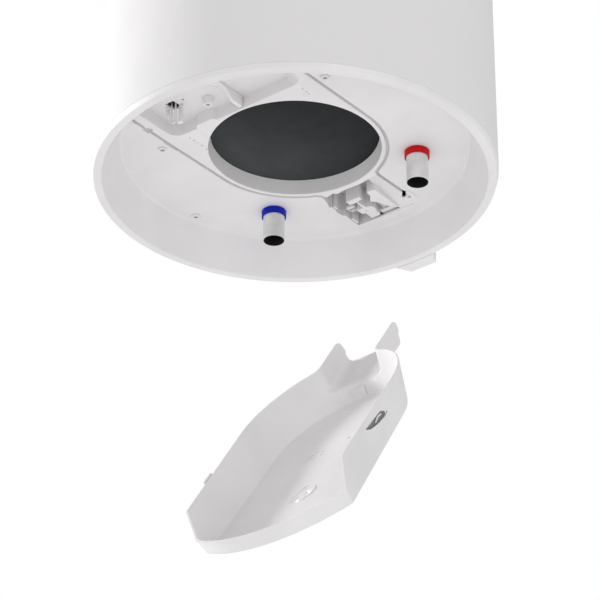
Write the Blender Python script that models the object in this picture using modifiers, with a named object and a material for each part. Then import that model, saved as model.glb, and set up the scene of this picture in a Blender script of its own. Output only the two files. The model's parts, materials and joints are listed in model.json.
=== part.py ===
"""Wall-hung electric storage water heater, with its bottom cover taken off and hanging below.

Axes: +Z is up, +Y points to the wall, +X is to the right of somebody who faces the wall.
Every piece hangs from the empty heater_axis, whose origin is the centre of the bottom rim.
The world's origin is the middle of the upper wall bracket's back face.
"""
import math

import bmesh
import bpy
from mathutils import Matrix, Vector

MM = 0.001

# Driving dimensions, in millimetres from the centre of the bottom rim.
JACKET_R = 252.5
JACKET_WALL = 1.2
SEAM_Z = 8.0
JACKET_TOP = 722.0
OVERALL_TOP = 752.0
WALL_Y = 267.0
BRACKET_Z = 600.0
GAP = 0.3

RIM_R = 250.3
LIP_INNER_R = 240.0
FLOOR_R = 217.8
FLOOR_Z = 48.0
CAP_WALL = 3.0
HOLE_R = 108.3
COLLAR_TOP_R = 105.8
DISC_Z = 68.3

PIPE_X = 115.0
PIPE_Y = 100.0
PIPE_R = 13.7
PIPE_BORE = 12.3
PIPE_END_Z = 4.5
RING_R = 15.8
RING_HEIGHT = 9.7

TANK_R = 205.0
TANK_WALL = 2.5
TANK_BOTTOM = 122.0
TANK_TOP = 690.0
TANK_NECK_R = 72.0
FLANGE_Z = 110.0
FLANGE_R = 98.0
BOLT_CIRCLE_R = 86.0
BOLT_COUNT = 6

POCKET_Z = 65.2
WELL_X0, WELL_X1 = -51.0, 43.5
WELL_Y0, WELL_Y1 = 114.0, 193.5
WELL_Z = 82.0

# The removable cover, in its fitted place.
COVER_HALF = 116.8
COVER_FRONT_Y = -172.0
COVER_CORNER_Y = -194.0
NECK_HALF = 45.2
NECK_END_Y = 180.0
NECK_FILLET = 9.0
COVER_RIM_Z = 49.5
COVER_BOTTOM_Z = -3.0
COVER_WALL = 2.5
COVER_DRAFT = 18.0
CORNER_DRAFT = 9.0
NECK_DRAFT = 8.0
EAR_FILLET = 14.0
COVER_BOW = 30.0
COVER_FRONT_RIM_Z = 17.4
SHELF_Z = 18.8
GROOVE_HALF = 3.0
GROOVE_TOP_Z = 52.5

# The cover swings from its fitted place to the drawn one about one axis along X.
DROP_AXIS_Y = 350.2
DROP_AXIS_Z = -87.7
DROP_ANGLE = 55.45

ROUND = 60
INNER_ROUND = 36
SMALL_ROUND = 20

PLASTIC = (0.78, 0.775, 0.77)
MATERIALS = {
    "white_plastic": (PLASTIC, 0.45, 0.0),
    "white_enamel": ((0.82, 0.82, 0.81), 0.3, 0.0),
    "dark_disc": ((0.06, 0.063, 0.066), 0.4, 0.3),
    "foam": ((0.75, 0.66, 0.36), 0.9, 0.0),
    "tank_enamel": ((0.05, 0.08, 0.16), 0.35, 0.0),
    "steel": ((0.6, 0.6, 0.6), 0.35, 1.0),
    "copper": ((0.72, 0.38, 0.24), 0.3, 1.0),
    "magnesium": ((0.5, 0.5, 0.5), 0.6, 1.0),
    "rubber": ((0.03, 0.03, 0.03), 0.7, 0.0),
    "blue_plastic": ((0.01, 0.02, 0.33), 0.5, 0.0),
    "red_plastic": ((0.58, 0.01, 0.015), 0.5, 0.0),
    "black_plastic": ((0.03, 0.03, 0.035), 0.5, 0.0),
    "red_button": ((0.6, 0.02, 0.02), 0.4, 0.0),
}


def clear_scene():
    """Remove every object that the file opened with."""
    for item in list(bpy.data.objects):
        bpy.data.objects.remove(item, do_unlink=True)


def make_collection(name):
    """Return a new collection linked to the scene."""
    group = bpy.data.collections.new(name)
    bpy.context.scene.collection.children.link(group)
    return group


def make_material(name):
    """Return the named material, made once."""
    found = bpy.data.materials.get(name)
    if found:
        return found
    colour, roughness, metallic = MATERIALS[name]
    material = bpy.data.materials.new(name)
    material.use_nodes = True
    shader = material.node_tree.nodes["Principled BSDF"]
    shader.inputs["Base Color"].default_value = (*colour, 1.0)
    shader.inputs["Roughness"].default_value = roughness
    shader.inputs["Metallic"].default_value = metallic
    material.diffuse_color = (*colour, 1.0)
    return material


clear_scene()
PARTS = make_collection("tank_water_heater")
CUTTERS = make_collection("cutters")

AXIS = bpy.data.objects.new("heater_axis", None)
AXIS.location = (0.0, -WALL_Y * MM, -BRACKET_Z * MM)
PARTS.objects.link(AXIS)

DROP = bpy.data.objects.new("cover_drop_axis", None)
DROP.parent = AXIS
DROP.location = (0.0, DROP_AXIS_Y * MM, DROP_AXIS_Z * MM)
DROP.rotation_euler = (math.radians(DROP_ANGLE), 0.0, 0.0)
PARTS.objects.link(DROP)


def add_object(name, mesh, material, smooth=True):
    """Put a mesh in the scene as a named piece hanging from the heater's axis."""
    piece = bpy.data.objects.new(name, mesh)
    piece.parent = AXIS
    mesh.materials.append(make_material(material))
    if smooth:
        mesh.shade_smooth()
        mesh.set_sharp_from_angle(angle=math.radians(35))
    PARTS.objects.link(piece)
    return piece


def make_cutter(piece):
    """Turn a piece into a hidden cutter."""
    PARTS.objects.unlink(piece)
    CUTTERS.objects.link(piece)
    piece.hide_render = True
    piece.display_type = "WIRE"
    return piece


def boolean(piece, tool, operation="DIFFERENCE", solver="EXACT"):
    """Cut or join a piece with a tool."""
    modifier = piece.modifiers.new(operation.lower(), "BOOLEAN")
    modifier.operation = operation
    modifier.solver = solver
    modifier.object = make_cutter(tool) if tool.name in PARTS.objects else tool
    return piece


def turned(name, profile, material, place=(0, 0, 0), steps=ROUND):
    """Turn a closed profile of (radius, height) about Z; it runs down its outer side first."""
    mesh = bpy.data.meshes.new(name)
    points = [(radius * MM, 0.0, height * MM) for radius, height in profile]
    edges = [(i, i + 1) for i in range(len(points) - 1)]
    if profile[0][0] > 0 or profile[-1][0] > 0:
        edges.append((len(points) - 1, 0))
    mesh.from_pydata(points, edges, [])
    piece = add_object(name, mesh, material, smooth=False)
    piece.location = Vector(place) * MM
    screw = piece.modifiers.new("turn", "SCREW")
    screw.axis = "Z"
    screw.steps = steps
    screw.render_steps = steps
    screw.use_merge_vertices = True
    screw.merge_threshold = 0.00001
    screw.use_smooth_shade = True
    return piece


def box(name, low, high, material="white_plastic"):
    """A box between two corners."""
    shape = bmesh.new()
    size = Vector(high) - Vector(low)
    middle = (Vector(high) + Vector(low)) / 2
    bmesh.ops.create_cube(shape, size=1.0, matrix=Matrix.Diagonal((*(size * MM), 1.0)))
    mesh = bpy.data.meshes.new(name)
    shape.to_mesh(mesh)
    shape.free()
    piece = add_object(name, mesh, material, smooth=False)
    piece.location = middle * MM
    return piece


def rod(name, radius, low, high, place, material="white_plastic", steps=SMALL_ROUND):
    """An upright cylinder from height low to height high, at place (x, y)."""
    shape = bmesh.new()
    bmesh.ops.create_cone(shape, cap_ends=True, segments=steps, radius1=radius * MM,
                          radius2=radius * MM, depth=(high - low) * MM)
    mesh = bpy.data.meshes.new(name)
    shape.to_mesh(mesh)
    shape.free()
    piece = add_object(name, mesh, material)
    piece.location = Vector((place[0], place[1], (low + high) / 2)) * MM
    return piece


def curve_to_mesh_object(name, curve, material, place):
    """Replace a curve by the welded mesh that it evaluates to."""
    source = bpy.data.objects.new(name + "_curve", curve)
    PARTS.objects.link(source)
    graph = bpy.context.evaluated_depsgraph_get()
    mesh = bpy.data.meshes.new_from_object(source.evaluated_get(graph))
    bpy.data.objects.remove(source, do_unlink=True)
    shape = bmesh.new()
    shape.from_mesh(mesh)
    bmesh.ops.remove_doubles(shape, verts=shape.verts, dist=0.00001)
    bmesh.ops.recalc_face_normals(shape, faces=shape.faces)
    shape.to_mesh(mesh)
    shape.free()
    mesh.name = name
    mesh.materials.clear()
    piece = add_object(name, mesh, material)
    piece.location = Vector(place) * MM
    return piece


def plate(name, outline, low, high, material="white_plastic"):
    """A flat outline of (x, y) points, raised from height low to height high."""
    curve = bpy.data.curves.new(name, "CURVE")
    curve.dimensions = "2D"
    curve.fill_mode = "BOTH"
    curve.extrude = (high - low) / 2 * MM
    spline = curve.splines.new("POLY")
    spline.points.add(len(outline) - 1)
    for point, (x, y) in zip(spline.points, outline):
        point.co = (x * MM, y * MM, 0.0, 1.0)
    spline.use_cyclic_u = True
    return curve_to_mesh_object(name, curve, material, (0, 0, (low + high) / 2))


def tube(name, path, radius, material, resolution=3):
    """A solid round bar along a path of points."""
    curve = bpy.data.curves.new(name, "CURVE")
    curve.dimensions = "3D"
    curve.bevel_depth = radius * MM
    curve.bevel_resolution = resolution
    curve.use_fill_caps = True
    spline = curve.splines.new("POLY")
    spline.points.add(len(path) - 1)
    for point, place in zip(spline.points, path):
        point.co = (*(Vector(place) * MM), 1.0)
    return curve_to_mesh_object(name, curve, material, (0, 0, 0))


def arc(centre, radius, start, end, count):
    """Points on a circle from one angle to another, in degrees."""
    points = []
    for i in range(count + 1):
        angle = math.radians(start + (end - start) * i / count)
        points.append((centre[0] + radius * math.cos(angle), centre[1] + radius * math.sin(angle)))
    return points


def neck_corner():
    """Centre of the inside fillet where the cover's round waist meets its neck, and its angle."""
    x = NECK_HALF + NECK_FILLET
    y = math.sqrt((COVER_HALF + NECK_FILLET) ** 2 - x ** 2)
    return (x, y), math.degrees(math.atan2(y, x))


def bowed_edge(half, corner_y, bow, count):
    """Points of a shallow arc from (-half, corner_y) to (half, corner_y), bowed to the front."""
    radius = (half ** 2 + bow ** 2) / (2 * bow)
    spread = math.degrees(math.asin(half / radius))
    return arc((0, corner_y - bow + radius), radius, 270 - spread, 270 + spread, count)


def cover_outline(inset, corner_y=COVER_CORNER_Y, bow=15.0):
    """The cover's outline in plan, with its walls moved inwards by inset."""
    centre, angle = neck_corner()
    half = COVER_HALF - inset
    right = arc((0, 0), half, 0, angle, 12)
    right += arc(centre, NECK_FILLET + inset, 180 + angle, 180, 4)[1:]
    right.append((NECK_HALF - inset, NECK_END_Y - max(inset, 0.0)))
    left = [(-x, y) for x, y in reversed(right)]
    return right + left + bowed_edge(half, corner_y, bow, 14)


def lean(height):
    """How far down the cover's wall a height lies: 0 at the rim, 1 at the bottom."""
    return (COVER_RIM_Z - height) / (COVER_RIM_Z - COVER_BOTTOM_Z)


def tray_section(height, wall=0.0):
    """The round-backed tray's outline at one height; its walls lean in lower down."""
    waist = COVER_HALF - COVER_DRAFT * lean(height) - wall
    corner = COVER_HALF - CORNER_DRAFT * lean(height) - wall
    front_y = -196.0 + 3.5 * lean(height) + wall
    side = [(waist + (corner - waist) * i / 9, front_y * i / 9) for i in range(1, 9)]
    front = bowed_edge(corner, front_y, COVER_BOW, 14)
    return arc((0, 0), waist, 0, 180, 24) + [(-x, y) for x, y in side] + front + side[::-1]


def neck_section(height, wall=0.0):
    """The neck's outline at one height, from inside the tray to past its open back."""
    waist = COVER_HALF - COVER_DRAFT * lean(height) - wall
    half = NECK_HALF - NECK_DRAFT * lean(height) - wall
    radius = EAR_FILLET + wall
    x = half + radius
    y = math.sqrt((waist + radius) ** 2 - x ** 2)
    angle = math.atan2(y, x)
    right = [(0.8 * waist * math.cos(angle), 0.8 * waist * math.sin(angle))]
    right += arc((x, y), radius, 180 + math.degrees(angle), 180, 4)
    right.append((half, NECK_END_Y + 10.0 + wall))
    return right + [(-x, y) for x, y in reversed(right)]


def loft(name, levels, material="white_plastic"):
    """A solid through sections of equal point counts, each given with its height."""
    shape = bmesh.new()
    rings = [[shape.verts.new(Vector((x, y, z)) * MM) for x, y in outline] for outline, z in levels]
    for low, high in zip(rings, rings[1:]):
        for i in range(len(low)):
            k = (i + 1) % len(low)
            shape.faces.new((low[i], low[k], high[k], high[i]))
    shape.faces.new(reversed(rings[0]))
    shape.faces.new(rings[-1])
    bmesh.ops.recalc_face_normals(shape, faces=shape.faces)
    mesh = bpy.data.meshes.new(name)
    shape.to_mesh(mesh)
    shape.free()
    return add_object(name, mesh, material, smooth=False)


def cap_profile():
    """Half section of the bottom cap: outer skirt, lip, inner skirt, floor and collar."""
    wall = CAP_WALL
    top = 30.0
    inside_r = JACKET_R - JACKET_WALL - 0.5
    return [
        (inside_r, top), (inside_r, SEAM_Z), (JACKET_R - 0.3, SEAM_Z), (RIM_R, 3.0),
        (RIM_R - 0.9, 0.9), (RIM_R - 3.0, 0.0), (LIP_INNER_R + 1.0, 0.0), (LIP_INNER_R - 0.8, 1.2),
        (FLOOR_R + 1.2, FLOOR_Z - 6.0), (FLOOR_R - 1.5, FLOOR_Z - 1.8), (FLOOR_R - 6.0, FLOOR_Z),
        (HOLE_R + 1.0, FLOOR_Z), (HOLE_R, FLOOR_Z + 1.0), (COLLAR_TOP_R, DISC_Z - GAP),
        (COLLAR_TOP_R + wall, DISC_Z - GAP), (HOLE_R + wall, FLOOR_Z + wall),
        (FLOOR_R - 5.0, FLOOR_Z + wall), (FLOOR_R + 1.0, FLOOR_Z + 0.5),
        (FLOOR_R + 4.2, FLOOR_Z - 5.0), (LIP_INNER_R + 2.0, wall), (RIM_R - wall, wall + 1.0),
        (inside_r - wall, SEAM_Z), (inside_r - wall, top),
    ]


def pocket_outline(inset):
    """The pocket sunk in the front of the recess floor: a crescent with rounded ends."""
    outer = FLOOR_R - 7.0 - inset
    left, right = -100.7 + inset, 103.6 - inset
    inner = -111.6 - inset
    corner = 19.0 - inset
    left_angle = 180 + math.degrees(math.acos(-left / outer))
    right_angle = 360 - math.degrees(math.acos(right / outer))
    points = arc((left + corner, inner - corner), corner, 180, 90, 5)
    points += [(-62.0, inner), (-62.0, inner - 5.5), (-36.0, inner - 5.5), (-36.0, inner)]
    points += arc((right - corner, inner - corner), corner, 90, 0, 5)
    return points + arc((0, 0), outer, right_angle, left_angle, 10)


def groove_band(name, outer_inset, inner_inset, low, high):
    """A band that follows the cover's rim from the recess's front to the cover's neck."""
    band = plate(name, cover_outline(outer_inset, -230.0), low, high)
    boolean(band, plate(name + "_inside", cover_outline(inner_inset, -240.0), low - 5, high + 5))
    keep = rod(name + "_keep", FLOOR_R - 7.5, low - 9, high + 9, (0, 0), steps=ROUND)
    return boolean(band, keep, "INTERSECT")


def build_bottom_cap():
    """The moulded cap that closes the jacket below and carries the recess."""
    cap = turned("bottom_cap", cap_profile(), "white_plastic")
    middle = COVER_WALL / 2
    rib = GROOVE_HALF + CAP_WALL
    rib_top = GROOVE_TOP_Z + CAP_WALL
    boolean(cap, groove_band("groove_rib", middle - rib, middle + rib, FLOOR_Z + 1.0, rib_top), "UNION")
    pocket = plate("pocket_walls", pocket_outline(-CAP_WALL), FLOOR_Z + 1.0, POCKET_Z + CAP_WALL)
    boolean(cap, pocket, "UNION")
    low = (WELL_X0 - CAP_WALL, WELL_Y0 - CAP_WALL, FLOOR_Z + 1.0)
    high = (WELL_X1 + CAP_WALL, WELL_Y1 + CAP_WALL, WELL_Z + CAP_WALL)
    boolean(cap, box("well_walls", low, high), "UNION")
    boolean(cap, box("ear_catch", (35.5, 166.0, FLOOR_Z - 12.0), (51.5, 186.0, FLOOR_Z + 1.0)), "UNION")
    groove = groove_band("groove", middle - GROOVE_HALF, middle + GROOVE_HALF, FLOOR_Z - 5.0, GROOVE_TOP_Z)
    boolean(cap, groove)
    boolean(cap, plate("pocket", pocket_outline(0.0), FLOOR_Z - 5.0, POCKET_Z))
    boolean(cap, box("well", (WELL_X0, WELL_Y0, FLOOR_Z - 20.0), (WELL_X1, WELL_Y1, WELL_Z)))
    boolean(cap, box("ear_slot", (38.8, 160.0, FLOOR_Z - 20.0), (48.5, 190.0, GROOVE_TOP_Z)))
    boolean(cap, box("clip_hole", (-78.0, -156.0, POCKET_Z - 5.0), (-65.0, -141.0, POCKET_Z + 9.0)))
    for side in (-1, 1):
        boolean(cap, rod("pipe_hole", PIPE_R + 0.6, 30, 70, (side * PIPE_X, PIPE_Y), steps=SMALL_ROUND))
    return cap


def build_jacket():
    """The painted steel jacket, a plain tube."""
    inner = JACKET_R - JACKET_WALL
    low = SEAM_Z + GAP
    profile = [(JACKET_R, JACKET_TOP), (JACKET_R, low), (inner, low), (inner, JACKET_TOP)]
    return turned("outer_jacket", profile, "white_enamel")


def build_top_cap():
    """The shallow dished lid of the jacket."""
    inner = JACKET_R - JACKET_WALL - 0.5
    wall = CAP_WALL
    low, edge = JACKET_TOP - 18.0, JACKET_TOP + GAP
    profile = [
        (0.0, OVERALL_TOP), (190.0, OVERALL_TOP - 2.0), (235.0, OVERALL_TOP - 10.0),
        (JACKET_R - 0.3, edge + 6.0), (JACKET_R - 0.3, edge), (inner, edge), (inner, low),
        (inner - wall, low), (inner - wall, edge + 4.0),
        (232.0, OVERALL_TOP - 13.0), (188.0, OVERALL_TOP - 5.0), (0.0, OVERALL_TOP - wall),
    ]
    return turned("top_cap", profile, "white_plastic")


def build_tank():
    """The enamelled pressure tank: domed ends and a short flanged neck below."""
    wall = TANK_WALL
    dome = 52.0
    outside = [(0.0, TANK_TOP), (90.0, TANK_TOP - 8), (160.0, TANK_TOP - 26), (TANK_R, TANK_TOP - dome)]
    outside += [(TANK_R, TANK_BOTTOM + dome + 20), (172.0, TANK_BOTTOM + 30), (110.0, TANK_BOTTOM + 14)]
    outside += [(TANK_NECK_R, TANK_BOTTOM + 12), (TANK_NECK_R, FLANGE_Z + 12.3)]
    inside = [(TANK_NECK_R - wall, FLANGE_Z + 12.3), (TANK_NECK_R - wall, TANK_BOTTOM + 12 + wall)]
    inside += [(110.0, TANK_BOTTOM + 14 + wall), (171.0, TANK_BOTTOM + 30 + wall)]
    inside += [(TANK_R - wall, TANK_BOTTOM + dome + 21), (TANK_R - wall, TANK_TOP - dome - 1)]
    inside += [(159.0, TANK_TOP - 26 - wall), (89.0, TANK_TOP - 8 - wall), (0.0, TANK_TOP - wall)]
    tank = turned("inner_tank", outside + inside, "tank_enamel", steps=INNER_ROUND)
    for side in (-1, 1):
        boolean(tank, rod("tank_hole", PIPE_R + 0.4, 90, 200, (side * PIPE_X, PIPE_Y)))
    return tank


def build_insulation():
    """The foam between tank and jacket, open below around the flange."""
    outer = JACKET_R - JACKET_WALL - 0.4
    low, neck = 90.0, 112.0
    tank_gap = 0.5
    profile = [
        (0.0, JACKET_TOP - 21), (outer, JACKET_TOP - 21), (outer, low), (neck, low),
        (neck, TANK_BOTTOM + 11), (175.0, TANK_BOTTOM + 24), (TANK_R + tank_gap, TANK_BOTTOM + 66),
        (TANK_R + tank_gap, TANK_TOP - 44), (161.0, TANK_TOP - 22), (91.0, TANK_TOP - 4),
        (0.0, TANK_TOP + 3),
    ]
    foam = turned("foam_insulation", profile, "foam")
    for side in (-1, 1):
        boolean(foam, rod("foam_hole", PIPE_R + 0.4, 60, 260, (side * PIPE_X, PIPE_Y)))
    return foam


def build_flange():
    """Ring on the tank's neck, gasket, cover plate and the bolts that close them."""
    ring = turned("tank_flange_ring", [
        (FLANGE_R, FLANGE_Z + 12), (FLANGE_R, FLANGE_Z), (TANK_NECK_R - 8, FLANGE_Z),
        (TANK_NECK_R - 8, FLANGE_Z + 12)], "tank_enamel", steps=INNER_ROUND)
    gasket = turned("flange_gasket", [
        (FLANGE_R - 3, FLANGE_Z - GAP), (FLANGE_R - 3, FLANGE_Z - 3), (TANK_NECK_R - 6, FLANGE_Z - 3),
        (TANK_NECK_R - 6, FLANGE_Z - GAP)], "rubber", steps=INNER_ROUND)
    high = FLANGE_Z - 3 - GAP
    cover = rod("flange_plate", FLANGE_R, FLANGE_Z - 8, high, (0, 0), "tank_enamel", INNER_ROUND)
    for index in range(BOLT_COUNT):
        angle = 2 * math.pi * (index + 0.5) / BOLT_COUNT
        place = (BOLT_CIRCLE_R * math.cos(angle), BOLT_CIRCLE_R * math.sin(angle))
        for piece in (ring, gasket, cover):
            boolean(piece, rod(f"bolt_hole_{index}_{piece.name}", 4.4, 60, 160, place, steps=12))
        head = rod(f"flange_bolt_{index + 1}", 7.0, FLANGE_Z - 14, FLANGE_Z - 8 - GAP, place, "steel", 6)
        boolean(head, rod(f"shank_{index}", 4.0, FLANGE_Z - 9, FLANGE_Z + 11, place, steps=12), "UNION")


def build_heating():
    """Heating element, sensor pocket and sacrificial anode, standing on the flange plate."""
    low = FLANGE_Z - 3 + 0.2
    bend = arc((0, 330), 28.0, 0, 180, 9)
    path = [(28.0, low)] + bend + [(-28.0, low)]
    tube("heating_element", [(x, -18.0, z) for x, z in path], 4.2, "copper", 2)
    rod("sensor_pocket", 6.5, low, 300, (0, -36), "copper", 16)
    rod("magnesium_anode", 11.0, low, 360, (0, 30), "magnesium", 20)


def build_thermostat():
    """Thermostat under the flange plate, with its setting knob and reset button."""
    body = box("thermostat_body", (-34.0, -42.0, 80.0), (34.0, 4.0, FLANGE_Z - 8 - GAP), "black_plastic")
    boolean(body, rod("button_bore", 4.6, 70, 89, (20, -30), steps=SMALL_ROUND))
    knob = rod("thermostat_knob", 11.0, 73.0, 80.0 - GAP, (-12, -19), "white_plastic")
    boolean(knob, box("screwdriver_slot", (-22.0, -20.0, 70.0), (-2.0, -18.0, 75.0)))
    rod("reset_button", 4.0, 76.0, 84.0, (20, -30), "red_button", 20)


def build_service_disc():
    """The dark disc that closes the service opening, with the flange behind it."""
    rod("service_disc", COLLAR_TOP_R + CAP_WALL - 0.5, DISC_Z, DISC_Z + 2.5, (0, 0), "dark_disc", ROUND)


def build_pipe(side, name, ring_name, colour, top):
    """One pipe stub with its bore, its long inner run and its coloured ring under the floor."""
    place = (side * PIPE_X, PIPE_Y, 0)
    run = [(PIPE_R, top), (PIPE_R, PIPE_END_Z), (PIPE_BORE, PIPE_END_Z), (PIPE_BORE, top)]
    turned(name, run, "steel", place, SMALL_ROUND)
    inner, outer = PIPE_R + 0.3, RING_R
    low, high = FLOOR_Z - RING_HEIGHT, FLOOR_Z - GAP
    turned(ring_name, [(outer, high), (outer, low), (inner, low), (inner, high)], colour, place, SMALL_ROUND)


def build_terminals():
    """Terminal block and cable clamp in the well at the back of the recess."""
    top = WELL_Z - GAP
    block = box("terminal_block", (20.0, 150.0, 62.0), (41.0, 190.0, top), "black_plastic")
    for y in (158.0, 170.0, 182.0):
        boolean(block, rod(f"wire_port_{y:.0f}", 2.6, 55, 72, (30.5, y), steps=12))
    comb_outline = [(18.0, 139.0), (18.0, 192.0), (13.5, 192.0), (9.0, 176.0), (4.5, 168.0), (-3.5, 158.0),
                    (3.0, 150.0), (7.0, 139.0)]
    plate("cable_comb", comb_outline, FLOOR_Z, top)
    bridge_outline = [
        (-29.0, 138.0), (-7.0, 138.0), (-7.0, 147.5), (-15.5, 147.5), (-15.5, 164.0), (-11.0, 164.0),
        (-11.0, 172.0), (-13.5, 192.0), (-26.0, 192.0), (-26.0, 178.0), (-30.0, 176.0), (-30.0, 163.0),
        (-18.5, 163.0), (-18.5, 147.5), (-29.0, 147.5)]
    plate("cable_bridge", bridge_outline, FLOOR_Z, 74.0)
    for index, y in enumerate((144.0, 186.0)):
        low, high = (-50.7, y - 5.0, FLOOR_Z), (-47.2, y + 5.0, top)
        box(f"well_rib_{index + 1}", low, high)
    clamp = box("cable_clamp", (-43.0, 158.0, 52.0), (-31.0, 170.0, 57.0))
    for index, x in enumerate((-39.5, -33.8)):
        boolean(clamp, rod(f"clamp_hole_{index}", 1.7, 45, 65, (x, 164.0), steps=12))
        screw = rod(f"clamp_screw_{index + 1}", 2.4, 49.5, 51.7, (x, 164.0), "steel", 12)
        boolean(screw, rod(f"clamp_shank_{index}", 1.4, 51, 70, (x, 164.0), steps=12), "UNION")


def build_pocket_fittings():
    """Hook, screw post, divider and fixing screws of the front pocket."""
    roof = POCKET_Z - GAP
    hook = box("front_hook", (-77.0, -155.0, 38.0), (-66.0, -142.0, POCKET_Z + 6.0))
    boolean(hook, box("hook_gap", (-74.5, -170.0, 41.0), (-68.5, -130.0, 60.0)))
    post = rod("screw_post", 7.0, 54.5, roof, (-27.5, -135.5), steps=20)
    boolean(post, rod("post_bore", 2.6, 50, 63, (-27.5, -135.5), steps=12))
    plate("pocket_divider", [(3.0, -112.5), (7.0, -112.5), (8.0, -134.0), (12.0, -170.0), (8.5, -170.0),
                             (4.0, -134.0)], FLOOR_Z + 2.0, roof)


def build_cap_screw(index, place):
    """One countersunk screw that fixes the bottom cap, in a low boss."""
    boss = rod(f"cap_screw_boss_{index}", 5.5, FLOOR_Z - 2.5, FLOOR_Z - GAP, place, steps=20)
    boolean(boss, rod(f"boss_bore_{index}", 2.6, 30, 60, place, steps=12))
    rod(f"cap_screw_{index}", 2.2, FLOOR_Z - 1.8, FLOOR_Z - GAP - 0.1, place, "steel", 12)


def build_wall_fixings():
    """The hanging bracket near the top and the spacer foot at the bottom rim."""
    jacket_clear = JACKET_R + GAP
    low, high = (-150.0, WALL_Y - 3.0, BRACKET_Z - 30), (150.0, WALL_Y, BRACKET_Z + 30)
    bracket = box("wall_bracket", low, high, "steel")
    for side in (-1, 1):
        leg = box(f"bracket_leg_{side}", (side * 90.0 - 12, 215.0, BRACKET_Z - 25),
                  (side * 90.0 + 12, WALL_Y - 1.0, BRACKET_Z + 25), "steel")
        boolean(bracket, leg, "UNION")
    boolean(bracket, rod("jacket_cut", jacket_clear, BRACKET_Z - 60, BRACKET_Z + 60, (0, 0), steps=ROUND))
    for x in (-130.0, 130.0):
        low, high = (x - 5, WALL_Y - 9, BRACKET_Z - 12), (x + 5, WALL_Y + 6, BRACKET_Z + 12)
        boolean(bracket, box(f"hanging_slot_{x:.0f}", low, high))
    foot = plate("wall_spacer", [(-32.0, 240.0), (32.0, 240.0), (20.0, WALL_Y), (-20.0, WALL_Y)], 0.5, 26.0)
    boolean(foot, rod("spacer_cut", jacket_clear, -20, 60, (0, 0), steps=ROUND))


def in_cover_frame(piece):
    """Hang a piece of the cover from the drop axis, keeping its place on the heater."""
    piece.parent = DROP
    piece.location -= Vector((0.0, DROP_AXIS_Y, DROP_AXIS_Z)) * MM
    return piece


def cut_cover(cover, tool, solver="EXACT"):
    """Cut the cover with a tool given in the heater's own axes."""
    return boolean(cover, in_cover_frame(tool), solver=solver)


def across(name, outline, left, right):
    """A block whose outline of (y, z) points runs along x from left to right."""
    piece = plate(name, outline, left, right)
    piece.data.transform(Matrix(((0, 0, 1, 0), (1, 0, 0, 0), (0, 1, 0, 0), (0, 0, 0, 1))))
    piece.location = Vector(((left + right) / 2, 0.0, 0.0)) * MM
    return piece


def build_cover():
    """The loose cover: a drafted round-backed tray with a neck whose floor is a raised shelf."""
    wall, floor, top = COVER_WALL, COVER_BOTTOM_Z + COVER_WALL, COVER_RIM_Z + 10.0
    outside = [(tray_section(z), z) for z in (COVER_BOTTOM_Z, COVER_RIM_Z)]
    cover = in_cover_frame(loft("bottom_cover", outside))
    levels = ((SHELF_Z - wall, 8.5), (SHELF_Z + 0.4, 3.0), (25.0, 0.0), (COVER_RIM_Z, 0.0))
    neck = in_cover_frame(loft("cover_neck", [(neck_section(z, inset), z) for z, inset in levels]))
    boolean(cover, neck, "UNION")
    cut_cover(cover, loft("tray_inside", [(tray_section(z, wall), z) for z in (floor, top)]))
    levels = ((SHELF_Z, 8.0), (SHELF_Z + 2.4, 2.5), (26.4, 0.0), (top, 0.0))
    cut_cover(cover, loft("neck_inside", [(neck_section(z, wall + inset), z) for z, inset in levels]))
    slope = [(-260.0, COVER_FRONT_RIM_Z), (COVER_CORNER_Y, COVER_FRONT_RIM_Z),
             (COVER_FRONT_Y, COVER_RIM_Z + 0.1), (COVER_FRONT_Y, 90.0), (-260.0, 90.0)]
    cut_cover(cover, across("cover_front_cut", slope, -150.0, 150.0))
    back = [(-50.0, 171.0), (-38.0, 175.0), (-20.0, 178.7), (0.0, 179.9), (20.0, 178.7), (38.0, 175.0),
            (50.0, 171.0), (50.0, 200.0), (-50.0, 200.0)]
    cut_cover(cover, plate("cover_back_cut", back, 10.0, 20.3))
    ear = [(172.5, 19.0), (172.5, 26.0), (173.8, 31.0), (178.4, 34.0), (179.5, 42.0), (178.0, 60.0),
           (200.0, 60.0), (200.0, 19.0)]
    cut_cover(cover, across("ear_cut", ear, -80.0, 80.0))
    window = [(-101.0, 40.0), (-70.0, 28.3), (-47.0, 24.8), (-36.0, 25.8), (-53.0, 36.2)]
    cut_cover(cover, across("right_window", window, 100.0, 130.0))
    cut_cover(cover, box("latch_slot", (0.0, -138.0, -10.0), (16.0, -124.0, 5.0)))
    edge = -COVER_HALF - GAP
    clip = in_cover_frame(box("cover_clip_left", (edge - 5.7, -114.0, 38.0), (edge, -88.0, 47.4)))
    boolean(clip, in_cover_frame(box("clip_tongue", (edge - 1.15, -112.0, 45.0), (edge, -90.0, 51.9))), "UNION")
    in_cover_frame(box("cover_clip_right", (108.4, -72.0, 30.0), (110.6, -52.0, 34.0)))
    return cover


def build_all():
    """Build every piece of the heater."""
    build_bottom_cap()
    build_jacket()
    build_top_cap()
    build_tank()
    build_insulation()
    build_flange()
    build_heating()
    build_thermostat()
    build_service_disc()
    build_pipe(-1, "cold_inlet_pipe", "cold_ring", "blue_plastic", 190.0)
    build_pipe(1, "hot_outlet_pipe", "hot_ring", "red_plastic", 600.0)
    build_terminals()
    build_pocket_fittings()
    for index, place in enumerate(((-129.0, -103.0), (129.0, -103.0), (-200.5, 45.2)), 1):
        build_cap_screw(index, place)
    build_wall_fixings()
    build_cover()


build_all()
bpy.context.view_layer.update()
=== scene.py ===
"""Wall-hung storage water heater seen from below, with its bottom cover hanging in front of it."""
import json
import math

import bmesh
import bpy
from mathutils import Matrix, Vector


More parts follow.
